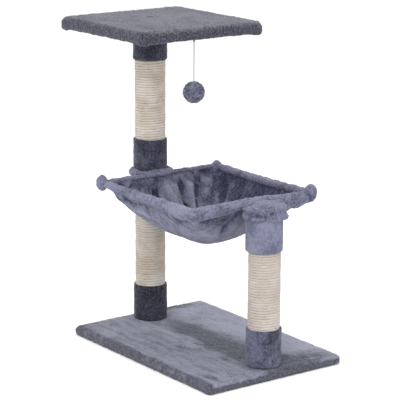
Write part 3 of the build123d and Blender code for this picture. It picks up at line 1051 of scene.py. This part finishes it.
def rim_route():
    """Points of the rim, anticlockwise from the corner at the lowest x and y, a few mm apart."""
    route = []
    half_x, half_y, back_x = rim_half_x - INSET, rim_half_y - INSET, INSET / 4 - rim_half_x
    corners = [(back_x, -half_y), (half_x, -half_y), (half_x, half_y), (back_x, half_y)]
    for index, corner in enumerate(corners):
        after = corners[(index + 1) % 4]
        for step in range(ROUTE_STEPS):
            share = step / ROUTE_STEPS
            x = corner[0] + (after[0] - corner[0]) * share
            y = corner[1] + (after[1] - corner[1]) * share
            beside = math.exp(-((y / 0.055) ** 2)) * (x > half_x - 0.001)
            x -= math.copysign(0.004 * beside, x)
            away = math.hypot(x - half_x, y + half_y)
            cut = 0.0030 * math.exp(-((away / 0.022) ** 2))  # the loose corner is rounded
            route.append((rim_x + x - cut, y + cut))
    return route


def add_ball(place, size):
    """Adds a soft lump: a sphere stretched to the size given for x, y and z."""
    bpy.ops.mesh.primitive_uv_sphere_add(segments=32, ring_count=16, radius=1, location=place)
    lump = bpy.context.object
    lump.scale = size
    return settle(lump, "lump")


def weld(pieces, name, voxel):
    """Joins overlapping shapes and melts them into one closed skin."""
    deselect()
    for piece in pieces:
        piece.select_set(True)
    bpy.context.view_layer.objects.active = pieces[0]
    bpy.ops.object.join()
    body = bpy.context.object
    settle(body, name)
    modify(body, "REMESH", mode="VOXEL", voxel_size=voxel, adaptivity=0.0)
    modify(body, "SMOOTH", factor=0.5, iterations=4)
    return body


def make_rolls():
    """One round curve along the whole rim, as a mesh, whose thickness changes from point to point."""
    line = bpy.data.curves.new("rim_line", "CURVE")
    line.dimensions = "3D"
    line.bevel_depth = 1.0
    line.bevel_resolution = 4
    spline = line.splines.new("POLY")
    route = rim_route()
    spline.points.add(len(route) - 1)
    for point, (x, y) in zip(spline.points, route):
        point.co = (x, y, float(roll_height(x, y)), 1)
        point.radius = float(roll_radius(x, y))
    spline.use_cyclic_u = True
    rolls = bpy.data.objects.new("rim_roll", line)
    bpy.context.collection.objects.link(rolls)
    pick(rolls)
    bpy.ops.object.convert(target="MESH")
    return bpy.context.object


def make_knobs():
    """A knob at each corner. The loose corner's is small and sits inside, covered by its roll."""
    knobs = []
    for side_x, side_y, wide, tall, rise, inward in (
        (-1, -1, KNOB_WIDE, KNOB_TALL * 1.06, 0.0, KNOB_INSET),
        (-1, 1, KNOB_WIDE * 0.9, KNOB_TALL * 0.75, 0.0, KNOB_INSET),
        (1, 1, KNOB_WIDE * 1.08, KNOB_TALL * 1.02, KNOB_RISE, KNOB_INSET),
        (1, -1, KNOB_WIDE, KNOB_WIDE, 0.0, KNOB_INSET + 0.008),
    ):
        x, y = rim_x + side_x * (rim_half_x - inward), side_y * (rim_half_y - inward)
        knobs.append(add_ball((x, y, float(rim_height(x, y)) + rise), (wide, wide, tall)))
    return knobs


def let_lip_hang(points):
    """Lets the roll's lower half sag where nothing holds it, between the cap and the far knob."""
    free = slope(points[:, 0] - rim_x, rim_half_x - 0.03, rim_half_x - 0.01)
    free *= slope(points[:, 1], 0.035, 0.075) * (1 - 0.6 * slope(points[:, 1], 0.120, 0.155))
    points[:, 2] -= 0.011 * free * np.clip((rim_z - points[:, 2]) / 0.014, 0, 1)
    return points


deselect()
rim = weld([make_rolls(), *make_knobs()], "hammock_rim_plush", 0.0020)
set_points(rim, let_lip_hang(get_points(rim)))
raise_pile(rim, 0.0030, 0.0042, 0.020)
write_hollows(rim, 0.004, 30)


def roll_shade(cloth):
    """The rolls behind lie in shade, and so does the underside of each."""
    x, y, z = cloth.axes()
    behind = (1 - (x - rim_x).smooth(-rim_half_x, -rim_half_x + 0.03)) * y.smooth(-0.10, -0.04) * 0.30
    return behind + (1 - z.smooth(rim_z - 0.012, rim_z)) * 0.15 - 0.02


roll_plush = plush("roll_plush", "72748a", "3f4156", 41.0, roll_shade, 0.05, 0.32, 0.62, 0.6)
hand_over(
    rim,
    "root",
    "plush",
    roll_plush,
    "hammock_left_sleeve",
    "hammock_right_sleeve",
    "hammock_back_sleeve",
    "hammock_front_sleeve",
    "hammock_corner_knobs",
)

# %% [markdown]
# ## The flaps that hold the hammock to the posts
# At the short post a flap of the cloth is pulled over the post's end, over the bolt, and tucked back
# on itself. At the tall post the flap is clamped between the two post sections, so only its edge
# bulges out. Both are welded from a few plain shapes, and a short function then drapes the cap: it
# draws it in beside the roll, waves its hem and presses a crease into its side.

# %% The cap over the short post
def add_ring(place, radius, thickness):
    """Adds a plain ring that lies flat."""
    bpy.ops.mesh.primitive_torus_add(
        major_segments=72, minor_segments=20, major_radius=radius, minor_radius=thickness, location=place
    )
    return settle(bpy.context.object, "ring")


front_low, front_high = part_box("front_sisal")
front_x = (front_low.x + front_high.x) / 2
cap_low, cap_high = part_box("hammock_front_flap")
cap_radius = cap_high.y
deselect()
bpy.ops.mesh.primitive_cylinder_add(
    vertices=72, radius=cap_radius - 0.004, depth=0.020, location=(front_x, 0, cap_low.z + 0.014)
)
cap_lumps = [settle(bpy.context.object, "cap_core")]
cap_lumps.append(add_ring((front_x, 0, cap_low.z + 0.0040), cap_radius - 0.0055, 0.0070))
crown = cap_radius - 0.002
cap_lumps.append(add_ball((front_x, 0, cap_low.z + 0.0215), (crown, crown, 0.0100)))
cap_lumps.append(add_ball((front_x - 0.034, -0.004, rim_z - 0.001), (0.020, 0.036, 0.009)))
cap_lumps.append(add_ball((front_x - 0.012, 0.046, rim_z - 0.006), (0.022, 0.014, 0.012)))
cap_lumps.append(add_ball((front_x - 0.028, -0.034, cap_low.z + 0.017), (0.016, 0.014, 0.0095)))
cap = weld(cap_lumps, "hammock_cap_plush", 0.0019)
PINCH = math.radians(-124)  # where the cap is drawn together, beside the roll


def drape_cap(points):
    """Draws the cap in at the pinch, waves and lifts its hem there, and creases its side."""
    angle = np.arctan2(points[:, 1], points[:, 0] - front_x)
    from_pinch = np.degrees((angle - PINCH + math.pi) % (2 * math.pi) - math.pi)
    height = np.clip((points[:, 2] - cap_low.z) / (cap_high.z - cap_low.z), 0, 1)
    lower = 1 - slope(height, 0.35, 0.75)
    outer = slope(np.hypot(points[:, 0] - front_x, points[:, 1]), 0.020, 0.036)  # the top's middle stays
    ripple = 0.0016 * np.sin(3 * angle + 0.6) + 0.0010 * np.sin(7 * angle + 2.0)
    pinch = -0.0075 * np.exp(-((from_pinch / 9) ** 2))
    crease_line = height - 0.42 + 0.002 * from_pinch
    crease = np.exp(-((crease_line / 0.07) ** 2)) * np.exp(-(((from_pinch - 55) / 50) ** 2))
    out = outer * (lower * ripple + pinch - 0.0035 * crease)
    points[:, 0] += out * np.cos(angle)
    points[:, 1] += out * np.sin(angle)
    wave = 0.0022 * np.sin(2 * angle + 2.0) + 0.008 * np.exp(-((from_pinch / 22) ** 2))
    points[:, 2] += outer * (lower * wave - (1 - lower) * 0.006 * np.exp(-((from_pinch / 22) ** 2)))
    return points


set_points(cap, drape_cap(get_points(cap)))
raise_pile(cap, 0.0030, 0.0040, 0.024)
write_hollows(cap, 0.004, 30)
cap_plush = plush("cap_plush", "64667c", "37394c", 51.0, None, 0.035, 0.36, 0.62, 0.9)
hand_over(cap, "root", "plush", cap_plush, "hammock_front_flap")

# %% The flap at the tall post
back_low, back_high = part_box("back_lower_sisal")
back_x = (back_low.x + back_high.x) / 2
flap_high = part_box("hammock_back_flap")[1]
flap_lumps = [
    add_ring((back_x, 0, rim_z), flap_high.y - 0.0075, 0.0065),
    add_ball((back_x + 0.036, 0.0, rim_z + 0.001), (0.016, 0.040, 0.010)),
    add_ball((back_x - 0.004, -0.042, rim_z + 0.001), (0.020, 0.009, 0.009)),
    add_ball((back_x + 0.018, 0.036, rim_z + 0.002), (0.020, 0.009, 0.008)),
]
flap = weld(flap_lumps, "hammock_flap_plush", 0.0019)
raise_pile(flap, 0.0034, 0.0044, 0.018)
write_hollows(flap, 0.004, 30)
hand_over(flap, "root", "plush", roll_plush, "hammock_back_flap")

# %% [markdown]
# ## The pad inside the perch
# A thin foam slab lies between the perch's board and its cover. It can't be seen, but it is modelled
# as what it is: a bevelled slab.

# %% The pad
pad_low, pad_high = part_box("perch_pad")
deselect()
bpy.ops.mesh.primitive_cube_add(size=1, location=(pad_low + pad_high) / 2)
pad = bpy.context.object
pad.scale = pad_high - pad_low
settle(pad, "perch_foam_pad")
modify(pad, "BEVEL", width=0.0015, segments=3)
foam = Finish("open_foam", 0.95)
cells = foam.noise(0.0015, 3.0)
foam_finish = foam.done(foam.mix(cells, colour("cfcabb"), colour("efeadd")), cells, 0.0006)
hand_over(pad, "root", "foam", foam_finish, "perch_pad")

# %% [markdown]
# ## Finishes of the hard pieces
# Boards, plugs, tubes and metal keep their CAD meshes: their shapes are right already. Each gets the
# finish of its material, with grain, chips or brushing read from the place on the object.

# %% Wood, card and metal
def chipboard():
    """Pressed wood chips, each its own brown."""
    board = Finish("raw_chipboard", 0.8)
    chips = board.node("ShaderNodeTexVoronoi", None, {"Vector": board.place, "Scale": 260.0}, out="Color")
    tone = board.noise(0.003, 3.0)
    body = board.mix(0.35, board.mix(tone, colour("8a6a48"), colour("c9a878")), chips)
    return board.done(board.mix(0.6, body, colour("b3936a")), tone, 0.0003)


def sawn_wood():
    """Softwood across the grain, with rings."""
    wood = Finish("sawn_wood", 0.7)
    x, y, z = wood.axes()
    rings = (wood.noise(0.02, 2.0, 1.0, wood.vector(x, y * 0.2, z)) * 26).sine() * 0.5 + 0.5
    return wood.done(wood.mix(rings, colour("b08b5c"), colour("d7b684")), rings, 0.0003)


def cardboard():
    """Wound brown card, with the joints of its strip."""
    card = Finish("wound_cardboard", 0.85)
    x, y, z = card.axes()
    fibre = card.noise(0.0012, 3.0, 2.0)
    ply = (z * 90 + card.noise(0.05) * 0.4).fract().smooth(0.94, 0.99)
    body = card.mix(fibre, colour("9c7d58"), colour("bb9a70"))
    return card.done(card.mix(ply * 0.5, body, colour("6d543a")), fibre, 0.0002)


def metal(name, pale, deep, roughness, grain):
    """Plated steel whose colour and shine vary a little."""
    steel = Finish(name, roughness, Metallic=1.0)
    brushed = steel.noise(grain, 3.0, 4.0)
    body = steel.mix(brushed, colour(deep), colour(pale))
    return steel.done(body, brushed, 0.0001, brushed * 0.2 + (roughness - 0.1))


def powder_coat():
    """Black paint with a slight orange peel."""
    coat = Finish("black_powder_coat", 0.5)
    peel = coat.noise(0.0008, 2.0)
    return coat.done(coat.mix(peel, colour("141416"), colour("2a2a2e")), peel, 0.0001)


slot_finishes = {
    "board": chipboard(),
    "wood_plug": sawn_wood(),
    "cardboard": cardboard(),
    "zinc_steel": metal("zinc_plate", "c9cbd0", "8f9298", 0.35, 0.002),
    "staple_wire": metal("staple_wire", "d4d5d8", "a0a2a6", 0.3, 0.001),
    "frame_wire": powder_coat(),
    "filling": foam_finish,
    "string": toy_line.data.materials[0],
}
for part in frame["record"]["subparts"]:
    node = frame["nodes"][part["node"]]
    if part["material_slot"] in slot_finishes and not node.hide_render:
        node.data.materials.clear()
        node.data.materials.append(slot_finishes[part["material_slot"]])
